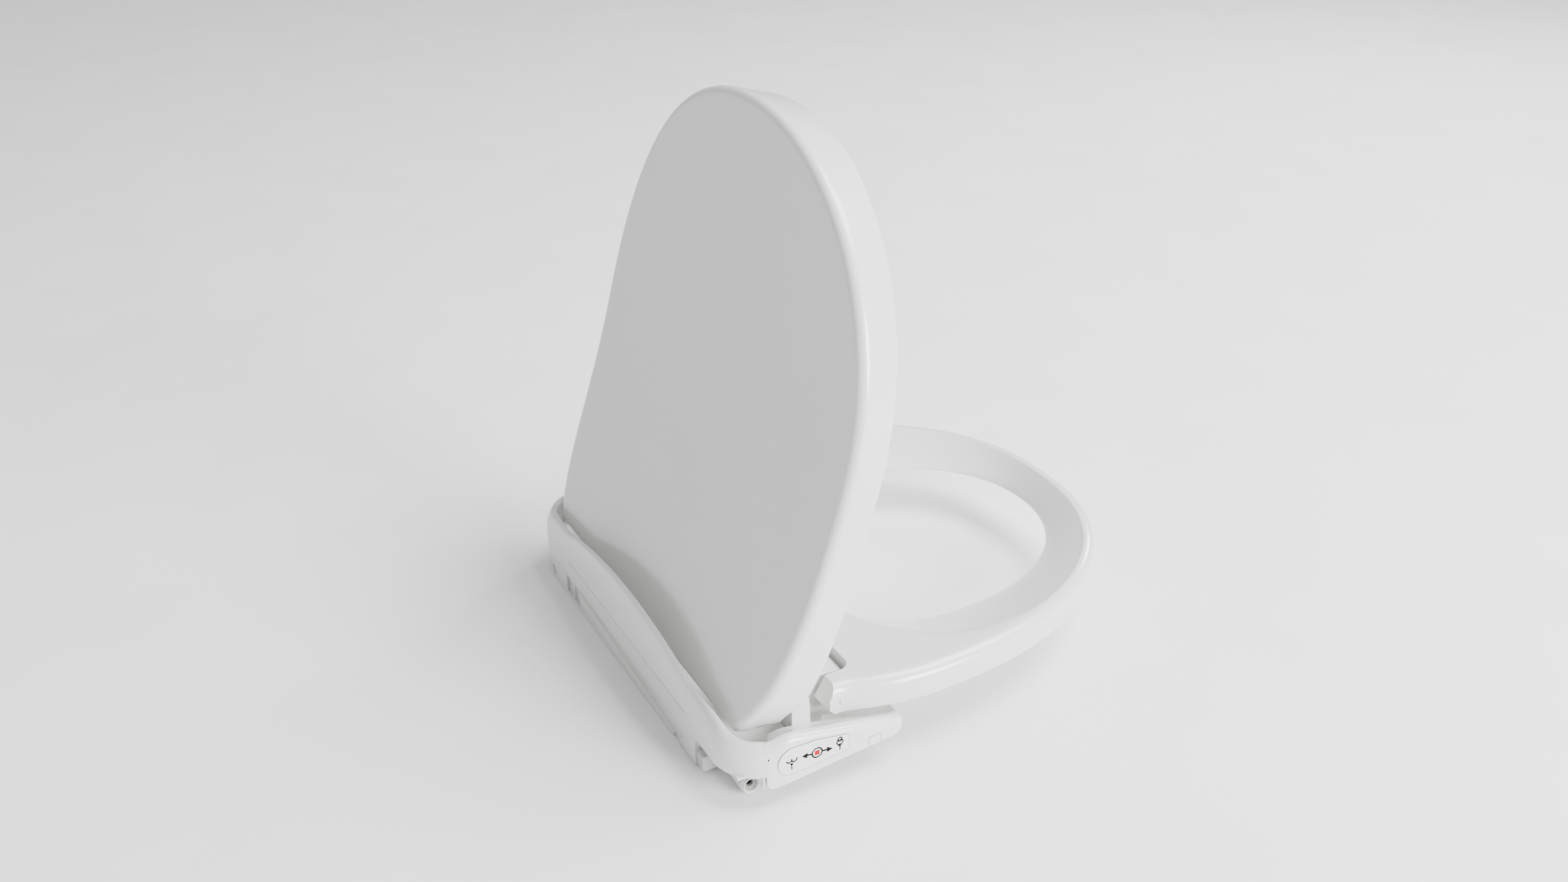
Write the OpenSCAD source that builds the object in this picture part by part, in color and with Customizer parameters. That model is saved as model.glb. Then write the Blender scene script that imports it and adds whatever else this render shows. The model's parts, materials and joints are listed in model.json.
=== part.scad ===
// Bidet seat with lid, control arm and threaded water inlet.
// Origin: centre of the two fixing holes, on the plane where the base rests on the bowl.
// +Z up, -Y towards the front of the bowl, -X towards the control arm.

/* [Housing] */
// Half width of the rear housing
house_half = 187; // [185:1:187]
// Rear wall, behind the fixing holes
rear_y = 50; // [49:0.5:52]
// Height of the rear rim at its middle
rim_z = 74.5; // [72:0.5:76]
// Height of the seam between tray and covers
seam_z = 20; // [19.5:0.5:20]
// Wall thickness of the moulded shells
wall = 3; // [2.5:0.1:3]

/* [Lid] */
// Largest half width of the lid
lid_half = 188; // [187.5:0.5:189]
// Reach of the lid in front of its hinge
lid_reach = 367; // [364:1:372]
// How far the lid is raised from closed
lid_raised = 75; // [74:0.5:76]

/* [Seat] */
// Largest half width of the seat ring
seat_half = 184; // [182:0.5:184]
// Front tip of the seat ring, in front of the fixing holes
seat_tip = 345; // [342:1:347]
// Half width of the hole
hole_half = 111; // [105:1:114]
// Thickness of the seat ring
seat_thick = 23; // [22:0.5:23.5]

/* [Arm] */
// Outer face of the control arm, from the middle
arm_x = 188; // [187.5:0.5:189]
// Front end of the control arm, in front of the fixing holes
arm_front = 82; // [80:1:84]

/* [Fixing] */
// Distance between the two fixing holes
hole_pitch = 140; // [138:1:155]
// Width of the slotted fixing holes
slot_w = 9; // [8:0.5:10]
// Length of the slotted fixing holes
slot_len = 26; // [22:1:30]

/* [Water] */
// Outer diameter of the threaded inlet
inlet_d = 14.3; // [14:0.1:14.6]
// Diameter of the spray nozzles
nozzle_d = 10; // [9:0.5:10]

/* [Hidden] */

white = [0.93, 0.93, 0.92];
grey = [0.55, 0.56, 0.57];
rubber = [0.78, 0.78, 0.76];

far = 400;                    // longer than anything that is cut
seam_gap = 0.3;               // gap between separate mouldings
lid_hinge = [0, 7, 65];       // lid axis
seat_hinge = [0, -43, 51];    // seat axis
seat_z = 40.5;                // underside of the seat ring
deck_front = -55;
deck_half = 150;
deck_rear = -3;
floor_z = 36;                 // floor of the lid's trough
trough_rear = 46.5;
tray_end = -125;              // where the tray stops, beside the inlet
side_x = 174;                 // inner side wall, beside the arm
side_y = 25.3;                // where that wall meets the rounded corner
step_x = 151;                 // inner face of the corner blocks
pin_r = 4;
pin_bore = 4.06;
inlet = [tray_end, 30, 8.5];  // inlet axis
nozzle_x = 11;
nozzle_tilt = 8;
nozzle_exit = [0, -50, 14];
nozzle_len = 70;
selector = [0, -46, 26.9];    // selector axis, along X
valve_r = 4.4;
core_r = 2.85;
lid_wide = 166;               // widest place of the lid, in front of its axis
face_low = [-176, 4];         // lowest line of the dished lid face
face_r = 970;
skirt_low = -22;
skirt_r = 2120;
block_front = -22;

function sgn_pow(v, e) = sign(v) * pow(abs(v), e);

// Half outline from the tip back: a superellipse nose, then a side that tapers towards the hinge.
function nose(half, len, n, steps) =
    [for (i = [0 : steps]) let (a = 90 * i / steps)
        [half * sgn_pow(sin(a), 2 / n), -len * sgn_pow(cos(a), 2 / n)]];
function taper(half, back, loss, steps) =
    [for (i = [1 : steps]) let (u = i / steps) [half - loss * u * u, back * u]];
function mirrored(pts) = concat(pts, [for (i = [len(pts) - 1 : -1 : 0]) [-pts[i][0], pts[i][1]]]);

// Side of a superellipse behind its widest place, cut off straight at y = cut.
function flank(half, len, n, cut, steps) =
    [for (i = [1 : steps]) let (y = cut * i / steps) [half * pow(1 - pow(y / len, n), 1 / n), y]];

// Lid outline, closed, seen from above; inset moves every edge inwards.
module lid_outline(inset = 0) {
    translate([0, -lid_wide])
        polygon(mirrored(concat(nose(lid_half - inset, lid_reach - lid_wide - inset, 2.08, 24),
            flank(lid_half - inset, 222, 4.35, lid_wide + 26, 14))));
}

// Seat outline, with the ears' ends at y = back_y.
module seat_outline(inset = 0, back_y = -30) {
    c = -113;
    translate([0, c])
        polygon(mirrored(concat(nose(seat_half - inset, seat_tip + c - inset, 2.25, 22),
            taper(seat_half - inset, back_y - c, 14, 8))));
}

module hole_outline(side = 0, front = 0) {
    translate([0, -174])
        polygon([for (i = [0 : 47]) let (a = 7.5 * i, len = cos(a) > 0 ? 144 + front : 90 + front)
            [(hole_half + side) * sgn_pow(sin(a), 0.93), -len * sgn_pow(cos(a), 0.93)]]);
}

module box(lo, hi) {
    translate(lo) cube(hi - lo);
}

module along_x(at, r, from, to) {
    translate([from, at[1], at[2]]) rotate([0, 90, 0]) cylinder(r = r, h = to - from, $fn = 64);
}

module both_sides() {
    children();
    mirror([1, 0, 0]) children();
}

// Plan of the housing, with rounded rear corners.
module house_plan(inset = 0, half = house_half, front = block_front, r0 = 35) {
    r = r0 - inset;
    x1 = half - inset;
    y1 = rear_y - inset;
    polygon(mirrored(concat([[0, front + inset], [x1, front + inset]],
        [for (i = [0 : 12]) let (a = 7.5 * i) [x1 - r + r * cos(a), y1 - r + r * sin(a)]], [[0, y1]])));
}

// The same plan without the strip that the arm fills.
module cover_plan(inset = 0) {
    difference() {
        house_plan(inset, front = deck_rear);
        translate([-far, -far]) square([far - side_x + inset, far + side_y + inset]);
    }
}

// Tray plan: the full-width block plus the tongue under the deck.
module tray_plan(inset = 0) {
    intersection() {
        house_plan(inset);
        translate([tray_end + inset, -far / 2]) square([far, far]);
    }
    translate([tray_end + inset, deck_front + inset])
        square([deck_half - tray_end - 2 * inset, block_front - deck_front + 2]);
}

screw_spots = [[-104, 42], [-110, -12], [104, 42], [110, -12], [40, 42], [-40, 42]];

module base_tray() {
    color(white)
    difference() {
        union() {
            difference() {
                linear_extrude(seam_z) tray_plan();
                translate([0, 0, wall]) linear_extrude(seam_z) tray_plan(wall);
            }
            for (s = screw_spots) translate([s[0], s[1], 1]) cylinder(r = 6, h = seam_z - 1, $fn = 48);
            // frames round the two fixing slots
            for (x = [-hole_pitch / 2, hole_pitch / 2])
                box([x - slot_len / 2 - 5, -9, 1], [x + slot_len / 2 + 5, 9, 12]);
        }
        for (s = screw_spots) {
            translate([s[0], s[1], -1]) cylinder(r = 4.2, h = 4, $fn = 48);
            translate([s[0], s[1], -1]) cylinder(r = 2.1, h = seam_z + 2, $fn = 48);
        }
        for (x = [-hole_pitch / 2, hole_pitch / 2])
            box([x - slot_len / 2 - 2, -6.5, -1], [x + slot_len / 2 + 2, 6.5, 13]);
        // window for the nozzles
        box([-34, deck_front - 1, 5], [34, deck_front + wall + 1, seam_z + 1]);
        // pocket for the bracket
        box([-98, -16, -1], [98, 16, 2.5]);
        // inlet and release button
        along_x(inlet, 7.3, tray_end - 1, tray_end + wall + 1);
        box([tray_end - 1, 38.7, 4.7], [tray_end + wall + 1, 45.3, 13.3]);
    }
}

// The rear rim, highest in the middle.
module rim_arch() {
    span = 112;
    side = 59;
    drop = rim_z - side;
    r = (span * span + drop * drop) / (2 * drop);
    intersection() {
        translate([0, far / 2, rim_z - r]) rotate([90, 0, 0]) cylinder(r = r, h = far, $fn = 720);
        box([-span, -far, 0], [span, far, far]);
    }
    translate([0, far / 2, 0]) rotate([90, 0, 0]) linear_extrude(far)
        polygon([[-190, 0], [190, 0], [190, 55], [span, side], [-span, side], [-190, 55]]);
}

module rear_cover() {
    side_z = 48;
    color(white)
    difference() {
        intersection() {
            translate([0, 0, seam_z]) linear_extrude(rim_z - seam_z) cover_plan();
            rim_arch();
        }
        // hollow underneath, closed below beside the inlet
        intersection() {
            translate([0, 0, seam_z - 1]) linear_extrude(floor_z - wall - seam_z + 1) cover_plan(wall);
            union() {
                box([tray_end, -far, 0], [far, far, far]);
                box([-far, -far, seam_z + 2], [far, far, far]);
            }
        }
        // the lid's trough, open to the front
        translate([0, 0, floor_z]) linear_extrude(far) intersection() {
            house_plan(rear_y - trough_rear, half = 180);
            translate([-side_x + wall + 0.5, -far / 2]) square([far, far]);
            translate([-far / 2, deck_rear - 1]) square([far, far]);
        }
        box([-far, -far, side_z], [far, 14, far]);
        // seam line along the rear wall
        box([-109, rear_y - 0.6, 35.4], [109, rear_y + 1, 36.6]);
        // ways for the hoses
        box([-side_x - 1, 0.5, 26], [-side_x + wall + 1, 6.5, 32]);
        box([-146, deck_rear - 1, seam_z - 1], [30, deck_rear + wall + 1, 31]);
    }
    color(white)
    for (s = screw_spots) if (s[1] > 0)
        translate([s[0], s[1], seam_z + 0.1])
            difference() {
                cylinder(r = 5, h = floor_z - wall - seam_z, $fn = 48);
                translate([0, 0, -1]) cylinder(r = 2, h = 14, $fn = 48);
            }
}

// Top cover between the seat's ears, sloping down towards the front.
module deck_solid(inset = 0) {
    rotate([90, 0, 90])
        translate([0, 0, -deck_half + inset])
            linear_extrude(2 * (deck_half - inset))
                polygon([[deck_front + inset, seam_z - 2 * inset], [deck_rear - seam_gap - inset, seam_z - 2 * inset],
                    [deck_rear - seam_gap - inset, 66 - inset], [-20, 64.5 - inset],
                    [deck_front + 5, 60.5 - inset], [deck_front + inset, 56 - inset]]);
}

module deck_cover() {
    color(white)
    difference() {
        deck_solid();
        deck_solid(wall);
        // openings for the nozzles and the hoses
        box([-34, deck_front - 1, seam_z - 1], [34, deck_front + wall + 1, 30]);
        box([-146, deck_rear - wall - 1, seam_z - 1], [100, deck_rear + 1, 34]);
        box([-deck_half - 1, -17, seam_z - 1], [-deck_half + wall + 1, deck_rear + 1, 34]);
        both_sides() along_x(seat_hinge, pin_r, deck_half - 6, deck_half + 1);
    }
    color(white)
    both_sides() difference() {
        along_x(seat_hinge, 7.2, deck_half - 14, deck_half - 2.5);
        along_x(seat_hinge, pin_r, deck_half - 15, deck_half + 1);
    }
    color(white)
    for (s = screw_spots) if (s[1] < 0)
        translate([s[0], s[1], seam_z + 0.1])
            difference() {
                cylinder(r = 5, h = 42, $fn = 48);
                translate([0, 0, -1]) cylinder(r = 2, h = 14, $fn = 48);
            }
}

// Solid corner blocks behind the seat's ears.
module hinge_knuckles() {
    x1 = 167.5;
    back = deck_rear - seam_gap;
    color(white)
    difference() {
        both_sides() translate([step_x, 0, 0]) rotate([90, 0, 90]) linear_extrude(x1 - step_x)
            polygon([[-25.5, seam_z], [back, seam_z], [back, 56], [-18, 55], [-25.5, 48]]);
        box([-x1 - 1, -17, seam_z - 1], [-step_x + 1, 0, 34]);
    }
    // lower shoulder on the side without an arm
    color(white) box([x1, block_front, seam_z], [house_half - 1, back, 46]);
}

cheek_x = [107, 135];

module lid_hinge_cheeks() {
    y = lid_hinge[1];
    color(white)
    both_sides() for (x = cheek_x) difference() {
        union() {
            box([x, y - 7, floor_z], [x + 8, y + 7, lid_hinge[2]]);
            along_x(lid_hinge, 7, x, x + 8);
        }
        along_x(lid_hinge, pin_r - 0.5, x - 1, x + 9);
    }
}

module lid_axles() {
    color(grey) both_sides() along_x(lid_hinge, pin_r - 0.5, cheek_x[0], cheek_x[1] + 8);
}

module seat_axles() {
    color(grey) both_sides() along_x(seat_hinge, pin_r, deck_half - 13.5, deck_half + 20);
}

module lid_damper() {
    color(grey) difference() {
        along_x(lid_hinge, 5.5, 60, cheek_x[0] - seam_gap);
        along_x(lid_hinge, 2, 59, 66);
    }
}

module seat_damper() {
    color(grey) difference() {
        along_x(seat_hinge, 7, 84, deck_half - 14.5);
        along_x(seat_hinge, 2, 83, 90);
    }
}

// Places a closed-lid shape, drawn about the lid axis, at the raised pose.
module raise_lid() {
    translate(lid_hinge) rotate([-lid_raised, 0, 0]) children();
}

// Round bar across the lid; its upper or lower side shapes the face and the skirt's edge.
module lid_arc(r, low) {
    along_x_smooth([0, face_low[0], low + r], r);
}

module along_x_smooth(at, r) {
    translate([-far / 2, at[1], at[2]]) rotate([0, 90, 0]) cylinder(r = r, h = far, $fn = 720);
}

module lid_shell() {
    color(white)
    difference() {
        raise_lid() difference() {
            intersection() {
                translate([0, 0, -30]) linear_extrude(70) lid_outline();
                lid_arc(skirt_r, skirt_low);
            }
            lid_arc(face_r, face_low[1]);
            difference() {
                translate([0, 0, -31]) linear_extrude(72) lid_outline(2.5);
                lid_arc(face_r + wall, face_low[1] - wall);
            }
            // shallower skirt at the end that turns into the trough
            box([-far, 7, -60], [far, 60, -7.5]);
        }
        box([-far, -far, -far], [far, far, 47.5]);
    }
}

module lid_hinge_lugs() {
    half = 5.5;
    color(white)
    raise_lid() both_sides() difference() {
        union() {
            along_x([0, 0, 0], 6.5, 125 - half, 125 + half);
            box([125 - half, -6.5, 0], [125 + half, 6.5, 30]);
        }
        lid_arc(face_r + wall + 0.05, face_low[1] - wall - 0.05);
        along_x([0, 0, 0], pin_r - 0.44, 119, 131);
    }
}

module lid_bumpers() {
    color(rubber)
    raise_lid() both_sides() for (p = [[124, -290], [168, -112]]) difference() {
        translate([p[0], p[1], -1.1]) cylinder(r = 6, h = 20, $fn = 48);
        lid_arc(face_r + wall + 0.05, face_low[1] - wall - 0.05);
    }
}

// Seat ring, dished towards the hole: layers as [outer inset, side and front growth of the hole, low, high].
seat_layers = [[0, 5, 1, 3.2, 7], [0, 13, 3, 7, 10.5], [0.3, 21, 5, 10.5, 14], [1, 29, 7, 14, 17],
    [2.5, 36, 9, 17, 19.5], [5, 43, 12, 19.5, 21.5], [10, 50, 15, 21.5, seat_thick]];

module seat_cut() {
    box([-deck_half - 3.5, deck_front - 3, -far], [deck_half + 3.5, far, far]);
}

module seat_top() {
    color(white)
    difference() {
        translate([0, 0, seat_z]) union()
            for (l = seat_layers) translate([0, 0, l[3]]) linear_extrude(l[4] - l[3])
                difference() {
                    seat_outline(l[0], seat_hinge[1]);
                    hole_outline(l[1], l[2]);
                }
        seat_cut();
        // hollow inside the ring
        translate([0, 0, seat_z]) linear_extrude(16) difference() {
            seat_outline(7, -66);
            hole_outline(44, 24);
        }
        both_sides() ear_space();
    }
}

module seat_base() {
    color(white)
    difference() {
        translate([0, 0, seat_z]) linear_extrude(3) difference() {
            seat_outline(0, seat_hinge[1] - 1);
            hole_outline();
        }
        seat_cut();
        both_sides() ear_space();
        for (p = bumper_spots) both_sides()
            translate([p[0], p[1], seat_z - 1]) cylinder(r = 4, h = 5, $fn = 48);
    }
}

module ear_space() {
    box([deck_half, seat_hinge[1] - 14, 0], [far, far, far]);
}

module seat_hinge_barrels() {
    x0 = deck_half + 3.5;
    y = seat_hinge[1];
    color(white)
    both_sides() difference() {
        translate([x0, 0, 0]) rotate([90, 0, 90]) linear_extrude(171 - x0)
            polygon([[y - 14, seat_z], [y + 5.5, seat_z], [y + 14.5, 49], [y + 11, 60],
                [y + 6.5, 63.2], [y - 14, 63.2]]);
        along_x(seat_hinge, pin_bore, x0 - 1, deck_half + 20.2);
    }
}

bumper_spots = [[148, -190]];

module seat_bumpers() {
    color(rubber)
    both_sides() for (p = bumper_spots) translate([p[0], p[1], seat_z]) {
        translate([0, 0, -12]) cylinder(r = 8, h = 11.9, $fn = 48);
        translate([0, 0, -0.5]) cylinder(r = 4, h = 3.5, $fn = 48);
    }
}

arm_in = side_x + 0.5;         // inboard face of the arm's root
arm_rear = 25;

// Side view of the arm: a wedge that narrows towards the front.
module arm_side(inset = 0) {
    polygon([[arm_rear - inset, 14 + inset], [-arm_front + 7, 22 + inset], [-arm_front + 2 + inset, 24.5 + inset],
        [-arm_front + inset, 29], [-arm_front + 2 + inset, 32.5 - inset], [-arm_front + 6, 34.3 - inset],
        [arm_rear - inset, 55 - inset]]);
}

module arm_slab(x0, x1, inset = 0) {
    translate([x0, 0, 0]) rotate([90, 0, 90]) linear_extrude(x1 - x0) arm_side(inset);
}

// Keeps the arm's rear end inside the rounded corner of the housing.
module arm_corner(inset = 0) {
    linear_extrude(far) house_plan(inset - arm_x + house_half, front = -far);
}

module arm_shell() {
    inboard = -162;
    color(white)
    difference() {
        union() {
            intersection() {
                arm_slab(-arm_x, -arm_in);
                arm_corner();
            }
            intersection() {
                arm_slab(-arm_in - 1, inboard);
                box([-arm_in - 1, -far, 0], [inboard, -27, 34]);
            }
        }
        // hollow, open below
        difference() {
            for (down = [0, 6]) translate([0, 0, -down]) intersection() {
                arm_slab(-arm_x + 2.5, inboard - 2.5, 2.5);
                box([-far, -far, 0], [far, arm_rear - 2.5, 31.5]);
                arm_corner(2.5);
            }
            for (p = arm_screw_spots) translate([p[0], p[1], base_z(p[1]) + 2.7]) cylinder(r = 3.2, h = 20, $fn = 48);
        }
        for (p = arm_screw_spots) translate([p[0], p[1], 10]) cylinder(r = 1.55, h = 19.6, $fn = 48);
        // scooped shelf beside the seat
        translate([0, 0, -5]) intersection() {
            rotate([90, 0, 90]) translate([0, 0, -arm_x + 7]) linear_extrude(far)
                polygon([[-arm_front - 5, 32.3], [20, 53.8], [20, 90], [-arm_front - 5, 90]]);
            box([-far, -far, 0], [far, 14, far]);
        }
        // panel recess and the tab's seat
        translate([-arm_x - 1, 0, 0]) rotate([90, 0, 90]) linear_extrude(1.5) panel_shape(0.2);
        box([-arm_x - 1, -62, 20.6], [-arm_x + 3, -51.4, 28.4]);
        // way for the hoses
        box([-arm_in - 2, -17, 20], [-arm_in + 2, 7, 32]);
        // relief round the inlet, for the hose's nut
        along_x(inlet, 9, -arm_x - 1, -arm_in + 1);
    }
}

function base_z(y) = 14 + 0.08 * (arm_rear - y);

module panel_shape(grow = 0) {
    polygon([[15 + grow, 20], [18.5 + grow, 27], [18 + grow, 36], [13 + grow, 45], [8, 47 + grow],
        [-31, 39.5 + grow], [-35 - grow, 37], [-36 - grow, 33], [-36 - grow, 26 - grow], [10, 19 - grow]]);
}

module arm_base() {
    color(white)
    difference() {
        intersection() {
            arm_slab(-arm_x + 2.7, -164.7, 0.01);
            arm_corner(2.7);
            rotate([90, 0, 90]) translate([0, 0, -arm_x]) linear_extrude(far)
                polygon([[arm_rear - 2.7, base_z(arm_rear - 2.7)], [-arm_front + 8, base_z(-arm_front + 8)],
                    [-arm_front + 8, base_z(-arm_front + 8) + 2.5], [arm_rear - 2.7, base_z(arm_rear - 2.7) + 2.5]]);
        }
        box([-arm_in - 0.4, -27.2, 0], [far, far, far]);
        box([-174, -62, 10], [-160, -30, 40]);
        for (p = arm_screw_spots) translate([p[0], p[1], 10]) cylinder(r = 1.6, h = 20, $fn = 48);
        box([-arm_x, -62.3, 10], [-arm_x + 3.2, -51.1, 30]);
        along_x(inlet, 9, -arm_x - 1, -arm_in + 1);
    }
}

arm_screw_spots = [[-181, 11], [-180, -69]];

module legend_panel() {
    color([0.95, 0.95, 0.95])
    difference() {
        translate([-arm_x, 0, 0]) rotate([90, 0, 90]) linear_extrude(0.5) panel_shape();
        translate([-0.1, 0, 0]) icon_solids(0.46);
    }
}

module icon_bar(a, b, w) {
    d = b - a;
    translate([a[0], a[1]]) rotate(atan2(d[1], d[0])) translate([0, -w / 2]) square([norm(d), w]);
}

// Flat symbols on the panel: rear wash, arrows round a stop mark, front wash.
module icon_solids(deep = 0.35) {
    translate([-arm_x, 0, 0]) rotate([90, 0, 90]) linear_extrude(deep) {
        translate([-11, 32]) {
            difference() {
                circle(r = 3.4, $fn = 40);
                circle(r = 2.8, $fn = 40);
            }
            square([2.4, 2.4], center = true);
        }
        icon_bar([-7.2, 32], [-3, 32], 0.5);
        polygon([[-3, 33.5], [0.4, 32], [-3, 30.5]]);
        icon_bar([-14.8, 32], [-19, 32], 0.5);
        polygon([[-19, 33.5], [-22.4, 32], [-19, 30.5]]);
        icon_bar([9, 29], [9, 33], 0.5);
        icon_bar([6, 34.4], [12, 34.4], 0.5);
        icon_bar([-30, 29], [-30, 33], 0.5);
        translate([-30, 35.6]) difference() {
            circle(r = 1.6, $fn = 32);
            circle(r = 1, $fn = 32);
        }
    }
}

module legend_icons() {
    color([0.25, 0.25, 0.27]) icon_solids();
}

module service_tab() {
    color(white) box([-arm_x, -61.7, 20.9], [-arm_x + 2.4, -51.7, 28.1]);
}

module valve_body() {
    color(grey)
    difference() {
        along_x(selector, valve_r, -184, -176);
        along_x(selector, core_r + 0.04, -183, -175);
    }
}

module valve_core() {
    color(rubber) along_x(selector, core_r, -182.8, -165.5);
}

// Thumb lever under the arm, turning with the valve core.
module selector_lever() {
    y = selector[1];
    color(white)
    difference() {
        union() {
            along_x(selector, 4.2, -172, -167.5);
            box([-172, y - 2.2, 16], [-167.5, y + 2.2, selector[2]]);
            box([-172, y - 4, 13.5], [-166, y + 4, 18]);
        }
        along_x(selector, core_r, -173, -167);
    }
}

module inlet_spigot() {
    color(white)
    difference() {
        union() {
            along_x(inlet, inlet_d / 2, -171, -145);
            along_x(inlet, 7.7, -146, tray_end - 1.5);
            along_x(inlet, 7.25, tray_end - 2, tray_end + wall);
            along_x(inlet, 5.3, tray_end, tray_end + 6);
        }
        along_x(inlet, 5, -172, tray_end + 1);
        along_x(inlet, 3.6, -172, tray_end + 7);
    }
}

module inlet_washer() {
    color(rubber) difference() {
        along_x(inlet, 4.9, -168, -165.5);
        along_x(inlet, 2.6, -169, -165);
    }
}

module inlet_filter() {
    color(grey) difference() {
        along_x(inlet, 4.9, -165.3, -147);
        along_x(inlet, 3.9, -166, -149);
    }
}

module check_valve() {
    color(grey) difference() {
        along_x(inlet, 5.4, tray_end + 6.1, tray_end + 18);
        along_x(inlet, 2, tray_end + 5, tray_end + 15);
    }
}

// A hose along square corners, each rounded with an elbow.
module hose(pts, r, bend = 6) {
    last = len(pts) - 1;
    for (i = [0 : last - 1]) {
        d = (pts[i + 1] - pts[i]) / norm(pts[i + 1] - pts[i]);
        a = pts[i] + d * (i > 0 ? bend : 0);
        b = pts[i + 1] - d * (i < last - 1 ? bend : 0);
        translate(a) rotate([0, acos(d[2]), atan2(d[1], d[0])]) cylinder(r = r, h = norm(b - a), $fn = 32);
    }
    for (i = [1 : last - 1]) {
        d = (pts[i] - pts[i - 1]) / norm(pts[i] - pts[i - 1]);
        e = (pts[i + 1] - pts[i]) / norm(pts[i + 1] - pts[i]);
        c = pts[i] + (e - d) * bend;
        n = -cross(e, d);
        multmatrix([[-e[0], d[0], n[0], c[0]], [-e[1], d[1], n[1], c[1]], [-e[2], d[2], n[2], c[2]]])
            rotate_extrude(angle = 90, $fn = 48) translate([bend, 0]) circle(r = r, $fn = 32);
    }
}

module supply_hose() {
    color(rubber) hose([[tray_end + 18.1, 30, 8.5], [-98, 30, 8.5], [-98, 3.5, 8.5], [-98, 3.5, 29],
        [-180.5, 3.5, 29], [-180.5, -41.5, 29]], 2);
}

module rear_hose() {
    z = 24.4;
    color(rubber) hose([[-177.5, -41.5, z], [-177.5, -13.5, z], [-134, -13.5, z], [-134, 28.5, z],
        [-nozzle_x, 28.5, z], [-nozzle_x, 20.2, z]], 2);
}

module front_hose() {
    z = 24.4;
    color(rubber) hose([[-183, -41.5, z], [-183, -8, z], [-140, -8, z], [-140, 34, z],
        [nozzle_x, 34, z], [nozzle_x, 20.2, z]], 2);
}

// Places a shape drawn along +Y from the nozzle's exit, tilted down towards the front.
module at_nozzle(x) {
    translate([x, nozzle_exit[1], nozzle_exit[2]]) rotate([nozzle_tilt, 0, 0]) rotate([-90, 0, 0]) children();
}

module nozzle_guide() {
    color(grey)
    difference() {
        union() {
            for (x = [-nozzle_x, nozzle_x]) at_nozzle(x) translate([0, 0, 6]) cylinder(r = 7.4, h = 54, $fn = 64);
            box([-nozzle_x - 5, -36, wall], [nozzle_x + 5, -28, 12]);
            box([-nozzle_x - 5, -4, wall], [nozzle_x + 5, 3, 16]);
        }
        for (x = [-nozzle_x, nozzle_x]) at_nozzle(x) cylinder(r = nozzle_d / 2 + 0.06, h = 80, $fn = 64);
    }
}

module nozzle(x, spray) {
    color(rubber)
    difference() {
        at_nozzle(x) cylinder(r = nozzle_d / 2, h = nozzle_len, $fn = 64);
        at_nozzle(x) translate([0, 0, -1 + 9]) cylinder(r = 2, h = nozzle_len, $fn = 48);
        at_nozzle(x) for (i = [0 : spray - 1]) rotate([90, 0, 0])
            translate([(i - (spray - 1) / 2) * 2.4, 6, 0]) cylinder(r = 0.6, h = 12, $fn = 24);
    }
}

module rear_nozzle() {
    nozzle(-nozzle_x, 1);
}

module front_nozzle() {
    nozzle(nozzle_x, 3);
}

// Fixing plate that is bolted to the bowl.
module mount_bracket() {
    color(grey)
    difference() {
        box([-97, -15, 0], [97, 15, 2.4]);
        for (x = [-hole_pitch / 2, hole_pitch / 2]) translate([x, 0, -1]) linear_extrude(5) {
            square([slot_len - slot_w, slot_w], center = true);
            for (e = [-1, 1]) translate([e * (slot_len - slot_w) / 2, 0]) circle(r = slot_w / 2, $fn = 64);
        }
    }
}

module release_button() {
    color(white) {
        box([-137, 38, 3], [-128.5, 48.5, 15]);
        box([-128.6, 39, 5], [-115, 45, 13]);
        for (i = [0 : 4]) box([-136.5 + 1.7 * i, 48.4, 3.5], [-135.7 + 1.7 * i, 49.6, 14.5]);
    }
}

module screw(r, head_r, len) {
    cylinder(r = head_r, h = 1.8, $fn = 48);
    translate([0, 0, 1.7]) cylinder(r = r, h = len, $fn = 48);
}

module cover_screws() {
    color(grey) for (s = screw_spots) translate([s[0], s[1], 1.2]) difference() {
        screw(1.95, 3.8, 26);
        translate([0, 0, -0.5]) cylinder(r = 1.2, h = 1.5, $fn = 48);
    }
}

module arm_screws() {
    color(grey) for (p = arm_screw_spots) translate([p[0], p[1], base_z(p[1]) - 2.2]) screw(1.5, 2.8, 7.6);
}

base_tray();
rear_cover();
deck_cover();
hinge_knuckles();
lid_hinge_cheeks();
lid_axles();
seat_axles();
lid_damper();
seat_damper();
lid_shell();
lid_hinge_lugs();
lid_bumpers();
seat_top();
seat_base();
seat_hinge_barrels();
seat_bumpers();
arm_shell();
arm_base();
legend_panel();
legend_icons();
service_tab();
valve_body();
valve_core();
selector_lever();
inlet_spigot();
inlet_washer();
inlet_filter();
check_valve();
supply_hose();
rear_hose();
front_hose();
nozzle_guide();
rear_nozzle();
front_nozzle();
mount_bracket();
release_button();
cover_screws();
arm_screws();
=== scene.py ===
"""Looks for the bidet seat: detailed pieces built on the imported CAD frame, studio light and camera."""

import json
import math

import bmesh
import bpy
from mathutils import Matrix, Vector


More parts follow.
